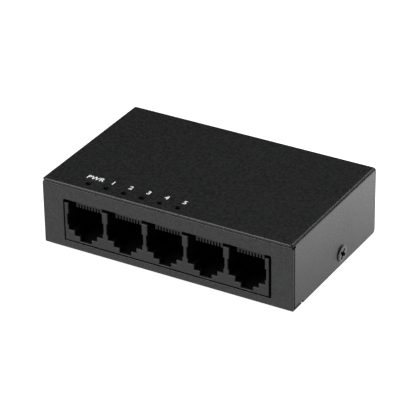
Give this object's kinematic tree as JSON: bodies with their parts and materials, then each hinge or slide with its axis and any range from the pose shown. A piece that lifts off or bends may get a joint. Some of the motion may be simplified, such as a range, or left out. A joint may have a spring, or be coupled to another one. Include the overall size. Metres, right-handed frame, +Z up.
{
  "type": "desktop network switch",
  "caption": "Small desktop network switch in a folded charcoal steel case, with a row of modular ports in front and a row of indicator holes on top.",
  "frame": {"origin": "on the table, under the middle of the case, level with the undersides of the rubber feet", "axes": "+Z up, +X to the right as seen from the ports, which face -Y"},
  "size_m": [0.0874, 0.0542, 0.024],
  "materials": {
    "coated_steel": "fine matt powder coat, charcoal black",
    "black_screw": "black zinc plated",
    "plated_screw": "zinc plated",
    "jack_plastic": "black glass-filled moulding",
    "gold_contact": "gold-flashed phosphor bronze",
    "tinned": "tinned copper alloy",
    "nickel": "nickel plated",
    "board_laminate": "green solder mask over glass laminate",
    "clear_plastic": "clear moulded acrylic",
    "led_lens": "milky epoxy",
    "chip_epoxy": "black epoxy",
    "ferrite": "dark grey ferrite",
    "can_aluminium": "satin can",
    "base_plastic": "black moulding",
    "chip_ceramic": "tan ceramic body",
    "foot_rubber": "matt black rubber"
  },
  "bodies": {
    "case": {"base_tray": "coated_steel", "top_cover": "coated_steel", "cover_screws": "black_screw", "board_screws": "plated_screw", "circuit_board": "board_laminate", "rubber_feet": "foot_rubber", "jack_housing": "jack_plastic", "light_guide": "clear_plastic", "indicator_leds": "led_lens", "network_transformers": "chip_epoxy", "transformer_leads": "tinned", "switch_chip": "chip_epoxy", "switch_chip_leads": "tinned", "regulator_chips": "chip_epoxy", "regulator_leads": "tinned", "power_inductors": "ferrite", "capacitor_bases": "base_plastic", "capacitor_cans": "can_aluminium", "crystal_can": "nickel", "chip_resistors": "chip_epoxy", "chip_capacitors": "chip_ceramic", "dc_jack_housing": "jack_plastic", "dc_jack_pin": "nickel", "dc_jack_blade": "tinned", "contact_insert_1": "jack_plastic", "contact_wires_1": "gold_contact", "contact_insert_2": "jack_plastic", "contact_wires_2": "gold_contact", "contact_insert_3": "jack_plastic", "contact_wires_3": "gold_contact", "contact_insert_4": "jack_plastic", "contact_wires_4": "gold_contact", "contact_insert_5": "jack_plastic", "contact_wires_5": "gold_contact"},
    "port_1_contacts": {"contact_springs_1": "gold_contact"},
    "port_2_contacts": {"contact_springs_2": "gold_contact"},
    "port_3_contacts": {"contact_springs_3": "gold_contact"},
    "port_4_contacts": {"contact_springs_4": "gold_contact"},
    "port_5_contacts": {"contact_springs_5": "gold_contact"},
    "inlet_spring": {"dc_jack_spring": "nickel"}
  },
  "joints": [
    {"name": "port_1_contact_flex", "type": "hinge", "parent": "case", "child": "port_1_contacts", "pos_m": [-0.02794, -0.02355, 0.01675], "axis": [1, 0, 0], "range_deg": [0, 12], "stiffness_Nm_per_rad": 0.02},
    {"name": "port_2_contact_flex", "type": "hinge", "parent": "case", "child": "port_2_contacts", "pos_m": [-0.01397, -0.02355, 0.01675], "axis": [1, 0, 0], "range_deg": [0, 12], "stiffness_Nm_per_rad": 0.02},
    {"name": "port_3_contact_flex", "type": "hinge", "parent": "case", "child": "port_3_contacts", "pos_m": [0, -0.02355, 0.01675], "axis": [1, 0, 0], "range_deg": [0, 12], "stiffness_Nm_per_rad": 0.02},
    {"name": "port_4_contact_flex", "type": "hinge", "parent": "case", "child": "port_4_contacts", "pos_m": [0.01397, -0.02355, 0.01675], "axis": [1, 0, 0], "range_deg": [0, 12], "stiffness_Nm_per_rad": 0.02},
    {"name": "port_5_contact_flex", "type": "hinge", "parent": "case", "child": "port_5_contacts", "pos_m": [0.02794, -0.02355, 0.01675], "axis": [1, 0, 0], "range_deg": [0, 12], "stiffness_Nm_per_rad": 0.02},
    {"name": "inlet_spring_flex", "type": "hinge", "parent": "case", "child": "inlet_spring", "pos_m": [-0.03, 0.0176, 0.0069], "axis": [-1, 0, 0], "range_deg": [0, 6], "stiffness_Nm_per_rad": 0.02}
  ]
}
